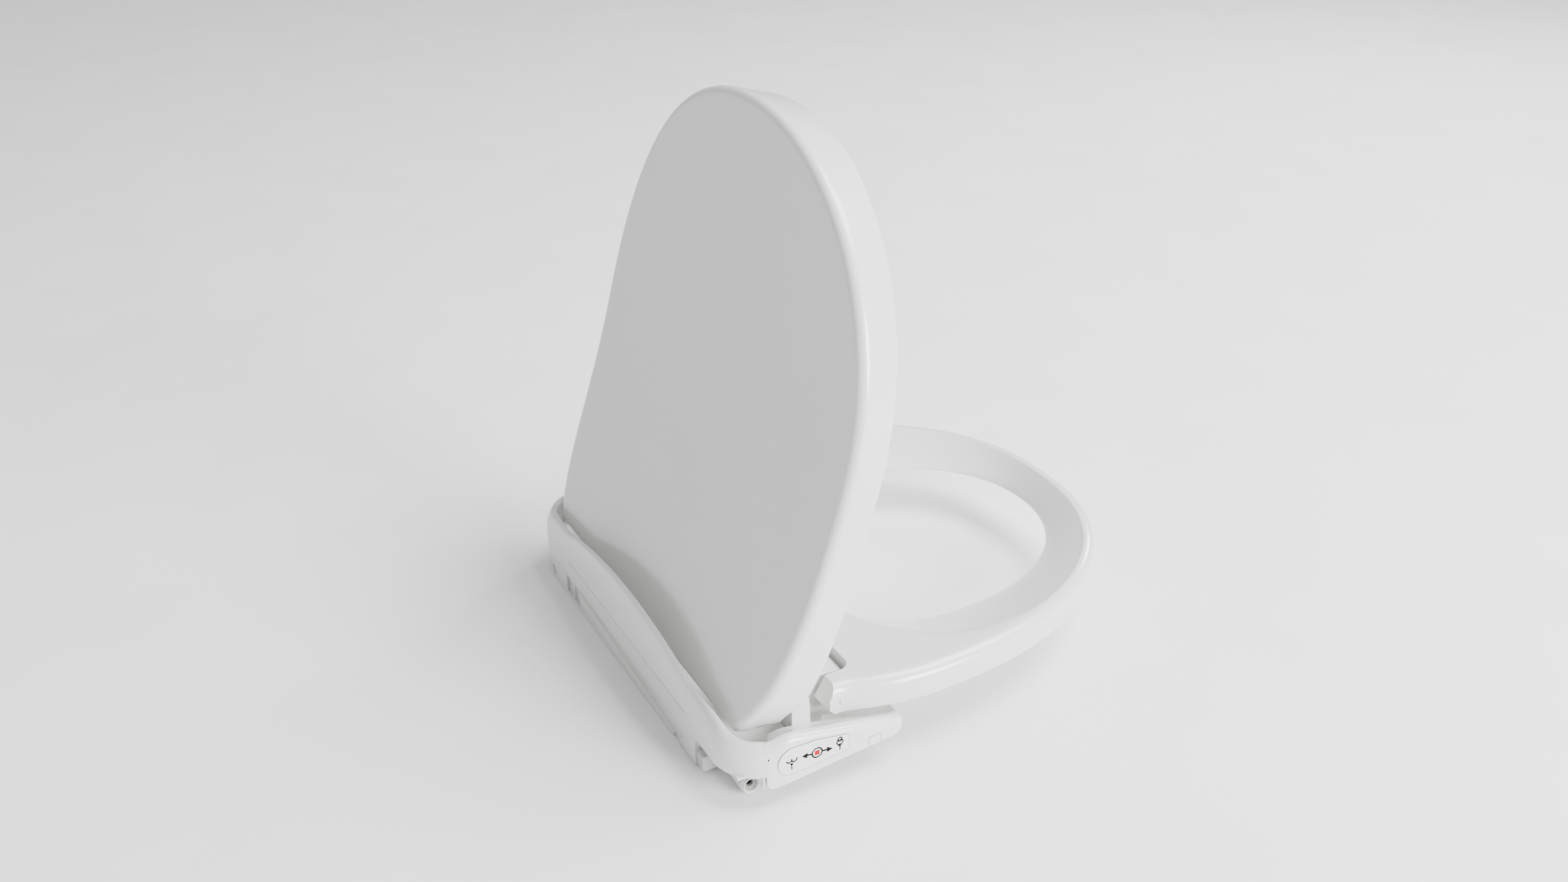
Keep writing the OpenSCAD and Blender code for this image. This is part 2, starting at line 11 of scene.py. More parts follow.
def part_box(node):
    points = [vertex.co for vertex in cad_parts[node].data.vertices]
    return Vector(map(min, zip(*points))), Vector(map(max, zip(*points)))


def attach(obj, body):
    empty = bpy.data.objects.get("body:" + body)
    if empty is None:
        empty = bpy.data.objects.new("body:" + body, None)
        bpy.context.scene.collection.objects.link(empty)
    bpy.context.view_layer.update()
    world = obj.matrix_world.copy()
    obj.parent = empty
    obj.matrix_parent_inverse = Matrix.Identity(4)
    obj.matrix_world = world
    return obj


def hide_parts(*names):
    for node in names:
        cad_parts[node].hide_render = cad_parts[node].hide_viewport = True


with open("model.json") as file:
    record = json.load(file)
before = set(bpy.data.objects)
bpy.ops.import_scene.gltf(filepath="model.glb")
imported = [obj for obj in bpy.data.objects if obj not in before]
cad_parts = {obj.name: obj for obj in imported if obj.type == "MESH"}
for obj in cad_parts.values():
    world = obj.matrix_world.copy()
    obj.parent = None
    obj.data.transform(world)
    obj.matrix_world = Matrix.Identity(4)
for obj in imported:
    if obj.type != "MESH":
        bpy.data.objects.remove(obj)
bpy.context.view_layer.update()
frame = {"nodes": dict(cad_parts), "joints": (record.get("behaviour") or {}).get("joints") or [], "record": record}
MM = 0.001

# Sizes in millimetres, from the frame
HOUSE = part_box("rear_cover")[1].x / MM                        # half width of the housing
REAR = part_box("rear_cover")[1].y / MM                         # rear wall
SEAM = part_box("rear_cover")[0].z / MM                         # where the cover meets the tray
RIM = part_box("rear_cover")[1].z / MM                          # top of the rim, in the middle
LID_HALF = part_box("lid_shell")[1].x / MM
SEAT_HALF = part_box("seat_top")[1].x / MM
SEAT_TIP = -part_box("seat_top")[0].y / MM
SEAT_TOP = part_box("seat_top")[1].z / MM
SEAT_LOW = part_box("seat_base")[0].z / MM
ARM_X = -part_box("arm_shell")[0].x / MM
ARM_FACE = ARM_X - 0.15                                       # the arm's outer skin, under the printed film
DECK_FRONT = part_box("deck_cover")[0].y / MM
DECK_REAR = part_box("deck_cover")[1].y / MM
DECK_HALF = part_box("deck_cover")[1].x / MM
joints = {j["name"]: j for j in frame["joints"]}
LID_PIN = [v / MM for v in joints["lid_hinge"]["pos_m"]]
LID_TILT = -joints["lid_hinge"]["range_deg"][0]               # how far the lid is raised at rest
SEAT_PIN = [v / MM for v in joints["seat_hinge"]["pos_m"]]

# Sizes in millimetres, chosen for the looks
CORNER = 35.0                                                 # housing's rear corners
INLET_Y, INLET_Z = 30.0, 8.5                                  # axis of the water inlet
KNUCKLE = (151.0, 167.5)                                      # hinge blocks, from and to
INK_THICK = 0.12


# ---------------------------------------------------------------- materials
def put(node, **values):
    """Sets a node's input values. Underscores in a name stand for spaces."""
    for name, value in values.items():
        node.inputs[name.replace("_", " ")].default_value = value
    return node


def plastic(name, color, rough, bump=0.04, wear=0.5, spec=0.5, coat=0.0, scale=60.0):
    """Moulded plastic: orange-peel bump, cloudy roughness, painted shade darkening the hollows, and polish on
    edges.
    """
    m = bpy.data.materials.new(name)
    m.use_nodes = True
    nt = m.node_tree
    b = nt.nodes["Principled BSDF"]
    n, link = nt.nodes.new, nt.links.new
    put(b, Specular_IOR_Level=spec, Coat_Weight=coat, Coat_Roughness=0.12)
    coords = n("ShaderNodeTexCoord")
    cloud = put(n("ShaderNodeTexNoise"), Scale=9.0, Detail=5.0)
    peel = put(n("ShaderNodeTexNoise"), Scale=scale * 12, Detail=3.0)
    speck = put(n("ShaderNodeTexNoise"), Scale=260.0, Detail=6.0)
    for noise in (cloud, peel, speck):
        link(coords.outputs["Object"], noise.inputs["Vector"])
    # roughness: cloudy, and lower on raised edges
    geo = n("ShaderNodeNewGeometry")
    edge = put(n("ShaderNodeMapRange"), From_Min=0.50, From_Max=0.62, To_Max=wear)
    link(geo.outputs["Pointiness"], edge.inputs["Value"])
    rough_map = put(n("ShaderNodeMapRange"), From_Min=0.3, From_Max=0.7,
                    To_Min=rough * 0.82, To_Max=rough * 1.22)
    link(cloud.outputs["Fac"], rough_map.inputs["Value"])
    polish = n("ShaderNodeMath")
    polish.operation = "MULTIPLY_ADD"
    polish.inputs[1].default_value = -0.25 * rough
    link(edge.outputs["Result"], polish.inputs[0])
    link(rough_map.outputs["Result"], polish.inputs[2])
    link(polish.outputs[0], b.inputs["Roughness"])
    # colour: slightly uneven, with painted shade darkening the hollows
    ramp = n("ShaderNodeValToRGB")
    stops = ramp.color_ramp.elements
    stops[0].position = 0.28
    stops[0].color = (color[0] * 0.965, color[1] * 0.965, color[2] * 0.955, 1)
    stops[1].position = 0.66
    stops[1].color = (*color, 1)
    link(cloud.outputs["Fac"], ramp.inputs["Fac"])
    # painted shade: hollows, found by pointiness, are darkened in the colour
    hollow_shade = put(n("ShaderNodeMapRange"), From_Min=0.40, From_Max=0.49, To_Min=0.86, To_Max=1.0)
    link(geo.outputs["Pointiness"], hollow_shade.inputs["Value"])
    tint = n("ShaderNodeMix")
    tint.data_type = "RGBA"
    tint.blend_type = "MULTIPLY"
    tint.inputs["Factor"].default_value = 1.0
    link(ramp.outputs["Color"], tint.inputs["A"])
    link(hollow_shade.outputs["Result"], tint.inputs["B"])
    link(tint.outputs["Result"], b.inputs["Base Color"])
    # bump: orange peel with a finer speckle on it
    height = n("ShaderNodeMath")
    height.operation = "MULTIPLY_ADD"
    height.inputs[1].default_value = 0.35
    link(speck.outputs["Fac"], height.inputs[0])
    link(peel.outputs["Fac"], height.inputs[2])
    relief = put(n("ShaderNodeBump"), Strength=bump, Distance=0.0004)
    link(height.outputs[0], relief.inputs["Height"])
    link(relief.outputs["Normal"], b.inputs["Normal"])
    return m


def metal(name, color, rough):
    """Steel: the same surface detail, finer and deeper, on a metallic base."""
    m = plastic(name, color, rough, bump=0.12, scale=90.0)
    put(m.node_tree.nodes["Principled BSDF"], Metallic=1.0)
    return m


WHITE = plastic("white_gloss", (0.70, 0.70, 0.695), 0.2, coat=0.45)
UNDER = plastic("white_under", (0.68, 0.68, 0.675), 0.34, bump=0.08)
FILM = plastic("panel_film", (0.73, 0.745, 0.75), 0.4, bump=0.02)
INK = plastic("legend_ink", (0.008, 0.008, 0.009), 0.8, wear=0.0, spec=0.08)
RED = plastic("legend_red", (0.42, 0.002, 0.012), 0.7, wear=0.0, spec=0.08)
# grey for lines of painted shade along the film's edge and in the tab's gap
SHADE_LINE = plastic("legend_shade_line", (0.16, 0.165, 0.17), 0.7, wear=0.0, spec=0.1)
BUFFER = plastic("buffer_rubber", (0.70, 0.70, 0.68), 0.62, bump=0.2, spec=0.3)
SEAL = plastic("seal_rubber", (0.34, 0.34, 0.33), 0.6, bump=0.2, spec=0.3)
HOSE = plastic("hose_rubber", (0.66, 0.68, 0.69), 0.42, bump=0.1)
INNER = plastic("inner_plastic", (0.50, 0.51, 0.52), 0.48, bump=0.15)
NOZZLE = plastic("nozzle_plastic", (0.74, 0.75, 0.76), 0.22, bump=0.03)
STEEL = metal("steel", (0.60, 0.60, 0.59), 0.3)
BY_SLOT = {"white_gloss": WHITE, "white_under": UNDER, "panel_film": FILM, "legend_ink": INK,
           "buffer_rubber": BUFFER, "seal_rubber": SEAL, "hose_rubber": HOSE, "inner_plastic": INNER,
           "nozzle_plastic": NOZZLE, "steel": STEEL}
for part in frame["record"]["subparts"]:
    node = frame["nodes"][part["node"]]
    node.data.materials.clear()
    node.data.materials.append(BY_SLOT[part["material_slot"]])


# ---------------------------------------------------------------- mesh helpers
def new_object(name, verts, faces, weld=True):
    """An object from millimetre points, with its faces turned outward."""
    mesh = bpy.data.meshes.new(name)
    mesh.from_pydata([Vector(v) * MM for v in verts], [], faces)
    bm = bmesh.new()
    bm.from_mesh(mesh)
    if weld:
        bmesh.ops.remove_doubles(bm, verts=bm.verts, dist=1e-6)
    bmesh.ops.recalc_face_normals(bm, faces=bm.faces)
    bm.to_mesh(mesh)
    bm.free()
    obj = bpy.data.objects.new(name, mesh)
    bpy.context.scene.collection.objects.link(obj)
    return obj


def shade(obj, smooth=True):
    for f in obj.data.polygons:
        f.use_smooth = smooth


def piece(name, verts, faces, body, nodes, slot, smooth=True):
    """One visible piece from millimetre points. It rides on a body and stands for CAD nodes."""
    obj = new_object(name, verts, faces)
    obj.data.materials.append(BY_SLOT[slot])
    shade(obj, smooth)
    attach(obj, body)
    if nodes:
        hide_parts(*nodes)
    return obj


def soften(obj, width, angle=40, segments=3):
    """Rounds the edges sharper than the angle, with even shading over them."""
    b = obj.modifiers.new("round", "BEVEL")
    b.width = width * MM
    b.segments = segments
    b.limit_method = "ANGLE"
    b.angle_limit = math.radians(angle)
    b.harden_normals = True
    w = obj.modifiers.new("normals", "WEIGHTED_NORMAL")
    w.keep_sharp = True


def crease(obj, angle):
    """Smooth shading with edges sharper than the angle kept."""
    shade(obj)
    obj.data.set_sharp_from_angle(angle=math.radians(angle))


def bake(obj):
    """Replaces the mesh by what its modifiers make of it."""
    bpy.context.view_layer.update()
    dg = bpy.context.evaluated_depsgraph_get()
    mesh = bpy.data.meshes.new_from_object(obj.evaluated_get(dg))
    obj.modifiers.clear()
    obj.data = mesh


def rings_mesh(rings, caps=True):
    """Points and faces of a skin over rings of equal length; caps close the first and the last ring."""
    verts, faces = [], []
    k = len(rings[0])
    for r in rings:
        verts += r
    for i in range(len(rings) - 1):
        for j in range(k):
            a, b = i * k + j, i * k + (j + 1) % k
            faces.append((a, b, b + k, a + k))
    if caps:
        faces.append(tuple(range(k)))
        faces.append(tuple((len(rings) - 1) * k + j for j in reversed(range(k))))
    return verts, faces


def join(*parts):
    """Several (points, faces) shapes as one."""
    verts, faces = [], []
    for v, f in parts:
        n = len(verts)
        verts += v
        faces += [tuple(i + n for i in face) for face in f]
    return verts, faces


def block(lo, hi):
    """A box between two corners, for tools and small flat features."""
    v = [(x, y, z) for x in (lo[0], hi[0]) for y in (lo[1], hi[1]) for z in (lo[2], hi[2])]
    return v, [(0, 1, 3, 2), (4, 6, 7, 5), (0, 4, 5, 1), (2, 3, 7, 6), (0, 2, 6, 4), (1, 5, 7, 3)]


def prism_x(section, x0, x1):
    """A (y, z) section carried along x."""
    return rings_mesh([[(x, y, z) for y, z in section] for x in (x0, x1)])


def lathe_x(profile, y, z, count=72):
    """Closed (x, radius) profile turned round an axis along x through (y, z)."""
    turns = [2 * math.pi * i / count for i in range(count)]
    rings = [[(x, y + r * math.cos(a), z + r * math.sin(a)) for a in turns] for x, r in profile + profile[:1]]
    return rings_mesh(rings, caps=False)


def power(v, e):
    """A power that keeps the sign, for superellipses."""
    return math.copysign(abs(v) ** e, v)


def mix(a, b, t):
    """From a to b in a straight line as t goes from 0 to 1."""
    t = max(0.0, min(1.0, t))
    return a + (b - a) * t


def ease(a, b, t):
    """From a to b as t goes from 0 to 1, level at both ends."""
    t = max(0.0, min(1.0, t))
    return a + (b - a) * t * t * (3 - 2 * t)


def carve(obj, *shapes):
    """Boolean difference with millimetre shapes, applied at once."""
    tools = [new_object("cutter", *s, weld=False) for s in shapes]
    for t in tools:
        m = obj.modifiers.new("cut", "BOOLEAN")
        m.operation = "DIFFERENCE"
        m.solver = "EXACT"
        m.object = t
    bake(obj)
    for t in tools:
        bpy.data.objects.remove(t)


# ---------------------------------------------------------------- lid
# The lid's own coordinates: x across, f along the lid from its pin, h out from it
LID_REACH, LID_WIDE, LID_HEEL = 367.0, 166.0, 26.0            # tip, widest place, and end past the pin
TIP_POWER, HEEL_POWER, HEEL_R = 2 / 2.08, 4.35, 222.0         # how the outline rounds off both ways
FACE_MID, FACE_LOW, FACE_R = 176.0, 4.0, 970.0                # dish of the outer face
SKIRT_LOW, SKIRT_R, SKIRT_HEEL = -22.0, 2120.0, -7.3          # free edge of the skirt
LID_EDGE, LID_WALL, LID_DRAFT, LID_LIP = 6.5, 2.0, 0.5, 1.2
LID_SHEET, LID_FILLET = 3.0, 4.0
LID_CENTRE = 168.0
LID_END = 47.6                                                # cut clear of the housing's trough


def lid_half_outline():
    """Half of the lid's outline, from the tip's middle to the heel's middle."""
    pts = []
    for i in range(41):
        a = math.pi / 2 * i / 40
        pts.append((LID_HALF * power(math.sin(a), TIP_POWER),
                    LID_WIDE + (LID_REACH - LID_WIDE) * power(math.cos(a), TIP_POWER)))
    for i in range(1, 37):
        t = (LID_WIDE + LID_HEEL) * i / 36
        pts.append((LID_HALF * (1 - (t / HEEL_R) ** HEEL_POWER) ** (1 / HEEL_POWER), LID_WIDE - t))
    x, f = pts[-1]
    return pts + [(x * (1 - i / 8), f) for i in range(1, 8)]


def lid_outline(inset):
    """The whole outline, moved inward by the inset."""
    half = lid_half_outline()
    loop = half + [(0.0, half[-1][1])] + [(-x, f) for x, f in reversed(half[1:])]
    out = []
    n = len(loop)
    for i, (x, f) in enumerate(loop):
        ax, af = loop[i - 1]
        bx, bf = loop[(i + 1) % n]
        tx, tf = bx - ax, bf - af
        size = math.hypot(tx, tf) or 1.0
        out.append((x + tf / size * inset, f - tx / size * inset))
    return out


def face_h(f):
    """Height of the dished outer face."""
    return FACE_LOW + (f - FACE_MID) ** 2 / (2 * FACE_R)


def skirt_h(f):
    """Height of the skirt's free edge, which rises near the hinge."""
    full = SKIRT_LOW + (f - FACE_MID) ** 2 / (2 * SKIRT_R)
    return ease(SKIRT_HEEL, full, (f + 7) / 7)


def place_lid(x, f, h):
    """Turns lid coordinates into the frame's, about the hinge pin."""
    a = math.radians(LID_TILT)
    return (x, LID_PIN[1] - f * math.cos(a) + h * math.sin(a), LID_PIN[2] + f * math.sin(a) + h * math.cos(a))


def build_lid():
    """One skin: outer face, rounded edge, skirt, lip, inner wall, fillet and inner face."""
    rings = []
    inner = LID_WALL + 0.6

    def scaled(inset, scale, drop):
        ring = []
        for x, f in lid_outline(inset):
            f = LID_CENTRE + (f - LID_CENTRE) * scale
            ring.append(place_lid(x * scale, f, face_h(f) - drop))
        rings.append(ring)

    def level(inset, height):
        rings.append([place_lid(x, f, height(f)) for x, f in lid_outline(inset)])

    for scale in (0.015, 0.1, 0.22, 0.36, 0.5, 0.63, 0.75, 0.85, 0.93, 1.0):
        scaled(LID_EDGE + 3, scale, 0.0)
    for i in range(9):
        a = math.pi / 2 * i / 8
        level(LID_EDGE * (1 - math.sin(a)), lambda f: face_h(f) - LID_EDGE * (1 - math.cos(a)))
    for i in range(1, 9):
        t = i / 8
        level(LID_DRAFT * t, lambda f: mix(face_h(f) - LID_EDGE, skirt_h(f) + LID_LIP, t))
    for i in range(1, 7):
        a = math.pi * i / 6
        level(LID_DRAFT + LID_WALL / 2 * (1 - math.cos(a)),
              lambda f: skirt_h(f) + LID_LIP - LID_LIP * math.sin(a))
    for i in range(1, 6):
        t = i / 5
        level(mix(LID_DRAFT + LID_WALL, inner, t),
              lambda f: mix(skirt_h(f) + LID_LIP, face_h(f) - LID_SHEET - LID_FILLET, t))
    for i in range(1, 6):
        a = math.pi / 2 * i / 5
        level(inner + LID_FILLET * (1 - math.cos(a)),
              lambda f: face_h(f) - LID_SHEET - LID_FILLET * (1 - math.sin(a)))
    for scale in (0.93, 0.85, 0.7, 0.5, 0.3, 0.1, 0.015):
        scaled(inner + LID_FILLET, scale, LID_SHEET)
    obj = piece("lid_skin", *rings_mesh(rings), "lid", ["lid_shell"], "white_gloss")
    bm = bmesh.new()
    bm.from_mesh(obj.data)
    cut = bmesh.ops.bisect_plane(bm, geom=bm.verts[:] + bm.edges[:] + bm.faces[:],
                                 plane_co=(0, 0, LID_END * MM), plane_no=(0, 0, 1), clear_inner=True)
    bmesh.ops.edgenet_fill(bm, edges=[e for e in cut["geom_cut"] if isinstance(e, bmesh.types.BMEdge)])
    bmesh.ops.recalc_face_normals(bm, faces=bm.faces)
    bm.to_mesh(obj.data)
    bm.free()
    for f in obj.data.polygons:
        f.use_smooth = len(f.vertices) < 8      # the cut and the centres stay flat


build_lid()


# ---------------------------------------------------------------- seat
SEAT_MID, SEAT_WIDE = -174.0, -113.0                          # middle of the hole, widest place
SEAT_POWER, HOLE_POWER = 2 / 2.25, 0.93
HOLE_HALF, HOLE_FRONT, HOLE_REAR = 111.0, 144.0, 90.0
CROWN_SIDE, CROWN_FRONT = 50.0, 15.0                          # crown's distance outside the hole
SEAT_ROUND, SEAT_COUNT = 10.0, 216
NOTCH_HALF, NOTCH_Y, NOTCH_ROUND = DECK_HALF + 3.5, DECK_FRONT - 3, 9.0
EAR_REAR, EAR_RIDGE, EAR_TAPER = SEAT_PIN[1] + 14.5, 49.0, 14.0


def seat_loop():
    """The ring's outer outline with its ears, from the tip's middle round to the tip again."""
    pts = []
    for i in range(61):
        a = math.pi / 2 * i / 60
        pts.append((SEAT_HALF * power(math.sin(a), SEAT_POWER),
                    SEAT_WIDE - (SEAT_TIP + SEAT_WIDE) * power(math.cos(a), SEAT_POWER)))
    for i in range(1, 25):
        y = SEAT_WIDE + (EAR_REAR - SEAT_WIDE) * i / 24
        u = min(1.0, (y - SEAT_WIDE) / (SEAT_PIN[1] - SEAT_WIDE))
        pts.append((SEAT_HALF - EAR_TAPER * u * u, y))
    pts.append((0.0, EAR_REAR))
    return pts + [(-x, y) for x, y in reversed(pts[1:-1])]


def hole_loop(side, front):
    """The hole's outline, widened to the sides and along the seat."""
    pts = []
    for i in range(180):
        a = 2 * math.pi * i / 180
        along = (HOLE_FRONT if math.cos(a) > 0 else HOLE_REAR) + front
        pts.append(((HOLE_HALF + side) * power(math.sin(a), HOLE_POWER),
                    SEAT_MID - along * power(math.cos(a), HOLE_POWER)))
    return pts


def reach(loop, a):
    """Distance from the hole's middle to a loop in direction a, 0 towards the tip."""
    dx, dy = math.sin(a), -math.cos(a)
    best = 0.0
    for i, (x0, y0) in enumerate(loop):
        x1, y1 = loop[(i + 1) % len(loop)]
        y0, y1 = y0 - SEAT_MID, y1 - SEAT_MID
        ex, ey = x1 - x0, y1 - y0
        den = dx * ey - dy * ex
        if abs(den) < 1e-9:
            continue
        r = (x0 * ey - y0 * ex) / den
        t = (x0 * dy - y0 * dx) / den
        if r > best and -1e-6 <= t <= 1 + 1e-6:
            best = r
    return best


def seat_sections():
    """For each direction: its angle and the distances to the hole, the crown and the outer edge."""
    outer, hole, crown = seat_loop(), hole_loop(0, 0), hole_loop(CROWN_SIDE, CROWN_FRONT)
    turns = [2 * math.pi * i / SEAT_COUNT for i in range(SEAT_COUNT)]
    return [(a, reach(hole, a), reach(crown, a), reach(outer, a)) for a in turns]


def seat_ring(profiles):
    """A skin over (radius, z) profiles, each in its own direction from the hole's middle."""
    rings = [[(r * math.sin(a), SEAT_MID - r * math.cos(a), z) for r, z in prof] for a, prof in profiles]
    return rings_mesh(rings + rings[:1], caps=False)


def build_seat():
    """The ring: a slope up from the hole, a crown, a round outer edge, and ears beside the deck."""
    top, low = SEAT_TOP, SEAT_LOW
    profiles = []
    for a, rh, rg, ro in seat_sections():
        rg = min(rg, ro - 12)
        prof = [(rh + 0.8, low + 0.5), (rh + 0.1, low + 1.3), (rh + 0.3, low + 2.6)]
        for k in range(1, 15):
            t = k / 14
            z = low + 3 + (top - 0.9 - low - 3) * (t ** 0.93)
            prof.append((rh + 0.5 + (rg - rh - 0.5) * t, z - 0.5 * max(0.0, t - 0.85)))
        span = ro - SEAT_ROUND - rg
        for k in range(1, 5):
            t = k / 4
            prof.append((rg + span * t, top - 0.75 + 0.75 * math.sin(math.pi / 2 * t)))
        for k in range(1, 9):
            b = math.pi / 2 * k / 8
            prof.append((ro - SEAT_ROUND + SEAT_ROUND * math.sin(b), top - 9 + 9 * math.cos(b)))
        prof += [(ro, top - 13), (ro - 0.2, low + 2), (ro - 0.7, low + 0.8), (ro - 1.4, low + 0.4),
                 (ro - 2.3, low + 0.4), (ro - 2.4, low + 2.7), (rh + 2.4, low + 2.7), (rh + 2.3, low + 0.5)]
        profiles.append((a, prof))
    obj = piece("seat_skin", *seat_ring(profiles), "seat", ["seat_top", "seat_hinge_barrels"], "white_gloss")
    r = NOTCH_ROUND
    corner = [(NOTCH_HALF - r + r * math.cos(a), NOTCH_Y + r + r * math.sin(a))
              for a in [math.radians(-90 + 90 * i / 8) for i in range(9)]]
    plan = [(-x, y) for x, y in reversed(corner)] + corner + [(NOTCH_HALF, 40), (-NOTCH_HALF, 40)]
    notch = rings_mesh([[(x, y, z) for x, y in plan] for z in (20, 90)])
    # the ears' rear faces slope away from a ridge, above and below
    y, z = EAR_REAR, EAR_RIDGE
    upper = prism_x([(y, z), (y - 9.5, top + 2), (y + 20, top + 2), (y + 20, z)], -220, 220)
    lower = prism_x([(y, z), (y + 20, z), (y + 20, low - 3), (y - 11.5, low - 3)], -220, 220)
    carve(obj, notch, upper, lower)
    shade(obj)
    soften(obj, 1.6, angle=38, segments=4)


build_seat()


def build_seat_under():
    """The flat plate that closes the ring from below."""
    low, high = SEAT_LOW + 0.1, SEAT_LOW + 2.5
    profiles = [(a, [(rh + 2.7, high), (rh + 2.7, low + 0.5), (rh + 3.2, low),
                     (ro - 3.4, low), (ro - 2.8, low + 0.5), (ro - 2.8, high)])
                for a, rh, _, ro in seat_sections()]
    obj = piece("seat_under", *seat_ring(profiles), "seat", ["seat_base"], "white_gloss")
    x, y = NOTCH_HALF + 2.6, NOTCH_Y - 2.6
    carve(obj, block((-x, y, 20), (x, 40, 90)), block((-300, SEAT_PIN[1] + 5, 20), (300, 40, 90)))
    shade(obj, False)


build_seat_under()


# ---------------------------------------------------------------- housing
RIM_SPAN, RIM_SIDE = 112.0, 59.0                              # half width of the arch and its foot
TROUGH = 36.0                                                 # floor behind the deck
STEP_X = -126.0                                               # the wall's lower edge is raised beside the inlet
GROOVE_Z, GROOVE_END, GROOVE_DEEP = 35.3, 109.0, 0.7          # fine line along the back
NOSE_Z = 29.2                                                 # the arm's tip
# the rim's round as (inset, drop), from the outer wall over the top
RIM_SECTION = [(0, 22), (0.15, 17), (0.55, 13), (1.2, 9.5), (2.0, 6.6), (3.0, 4.2), (4.1, 2.3), (5.4, 0.9),
               (6.8, 0.15), (8.0, 0.0), (8.9, 0.4), (9.5, 1.5), (9.8, 3.2)]


def rim_height(x, y):
    """Height of the wall's rim: an arch over the back that falls away round the corners."""
    drop = RIM - RIM_SIDE
    r = (RIM_SPAN * RIM_SPAN + drop * drop) / (2 * drop)
    ax = abs(x)
    if ax < RIM_SPAN:
        z = RIM - r + math.sqrt(r * r - ax * ax)
        z = max(RIM_SIDE, RIM_SIDE + (z - RIM_SIDE) * ease(0, 1, (RIM_SPAN - ax) / 26 + 0.5))
    else:
        z = mix(RIM_SIDE, 55.5, (ax - RIM_SPAN) / 60)
    if x < 0:
        z = ease(z, 48.5, (ax - 136) / 46)
        return min(z, ease(48.0, z, (y - 25) / 8))
    return z if y > 12 else ease(47.5, z, (y + 6) / 18)


def arm_crest(y):
    """Height of the arm's top, a straight slope that meets the housing's rim."""
    line = 34.3 + (55 - 34.3) * (y + 76) / 101
    return ease(line, 48.0, (y - 2) / 22)


def arm_bottom(y):
    """Height of the arm's lower edge, which rises towards the front."""
    return 14 + 0.08 * (25 - y)


def house_path():
    """Outer wall's plan points and inward directions, from beside the arm round the back to the far front."""
    path = []

    def corner(centre, degrees):
        for a in map(math.radians, degrees):
            path.append(((centre + CORNER * math.cos(a), REAR - CORNER + CORNER * math.sin(a)),
                         (-math.cos(a), -math.sin(a))))

    near, far = -ARM_FACE + CORNER, HOUSE - CORNER
    first = 180 - math.degrees(math.asin((24.9 - REAR + CORNER) / CORNER))
    corner(near, [mix(first, 90, i / 24) for i in range(25)])
    ends = [STEP_X - 0.1, STEP_X + 0.1, -GROOVE_END - 1, -GROOVE_END, GROOVE_END, GROOVE_END + 1]
    for x in sorted([mix(near, far, i / 60) for i in range(1, 60)] + ends):
        path.append(((x, REAR), (0, -1)))
    corner(far, [90 - 90 * i / 24 for i in range(25)])
    for y in (12, 8, 4, 0, -4, -8, -12, -16, -20, -21.9):
        path.append(((HOUSE, y), (-1, 0)))
    return path


def wall_section(bottom, top, inner, groove):
    """Outer wall with its groove, soft rim and inner wall as (inset, z)."""
    g = min(GROOVE_Z, top - 23.6)
    s = [(0.0, bottom), (0.0, mix(bottom, g, 0.5)), (0.0, g),
         (groove, g + 0.25), (groove, g + 1.0), (0.0, g + 1.25)]
    s += [(d, top - drop) for d, drop in RIM_SECTION]
    widest = RIM_SECTION[-1][0]
    s = [(d * inner / widest, max(z, bottom)) for d, z in s]
    low = TROUGH - 2.5
    return s + [(inner, TROUGH), (inner - 0.4, low), (2.5, low), (2.5, bottom)]


def build_cover():
    """The housing's outer wall, the trough's floor behind the deck and the front faces beside it."""
    rings = []
    for (x, y), (nx, ny) in house_path():
        inner = mix(7.0, 10.5, ease(0, 1, (abs(x) - 120) / 45))
        bottom = SEAM + 0.02 if x > STEP_X else 24.5
        groove = GROOVE_DEEP if abs(x) < GROOVE_END + 0.2 and y > REAR - 1 else 0.0
        section = wall_section(bottom, rim_height(x, y), inner, groove)
        rings.append([(x + nx * d, y + ny * d, z) for d, z in section])
    wall = rings_mesh(rings)
    floor = block((-170.4, -2.9, TROUGH - 3), (178.0, 42.0, TROUGH))
    front_left = block((-170.4, -2.9, 20.2), (-146.2, 0.0, 33.1))
    front_right = block((30.2, -2.9, 20.2), (183.0, 0.0, 33.1))
    under = block((-179.0, 12.0, 24.6), (-126.2, 44.0, 26.0))
    shape = join(wall, floor, front_left, front_right, under)
    obj = piece("cover_skin", *shape, "base", ["rear_cover"], "white_gloss")
    crease(obj, 38)


build_cover()


def build_tray():
    """The CAD tray with two notches and a finned recess cut into its rear wall, and three fine ribs."""
    obj = bpy.data.objects.new("tray_skin", frame["nodes"]["base_tray"].data.copy())
    bpy.context.scene.collection.objects.link(obj)

    def bar(x, z, r):
        """A cutter along y through the rear wall's face."""
        y0, y1 = REAR - 1.6, REAR + 3
        v, f = lathe_x([(y0, 0.01), (y0, r), (y1, r), (y1, 0.01)], 0.0, 0.0, 40)
        return [(x - b, a, z + c) for a, b, c in v], f

    recess = prism_x([(REAR + 2, 19.0), (REAR - 1.4, 19.0), (REAR - 2.1, 17.0), (REAR - 2.1, 3.0),
                      (REAR + 2, 3.0)], 90.0, 118.0)
    carve(obj, bar(147.8, 6.5, 5.0), bar(-94.0, 0.5, 5.5), recess)
    crease(obj, 30)
    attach(obj, "base")
    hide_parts("base_tray")
    fin = prism_x([(REAR - 2.3, 3.4), (REAR - 0.2, 4.0), (REAR - 0.2, 12.0), (REAR - 2.3, 18.4)], 102.6, 104.4)
    ribs = [block((x, REAR - 0.6, 2.0), (x + 0.9, REAR - 0.05, 16.0)) for x in (-123.6, -121.8, -120.0)]
    piece("tray_fins", *join(fin, *ribs), "base", [], "white_under", smooth=False)


build_tray()


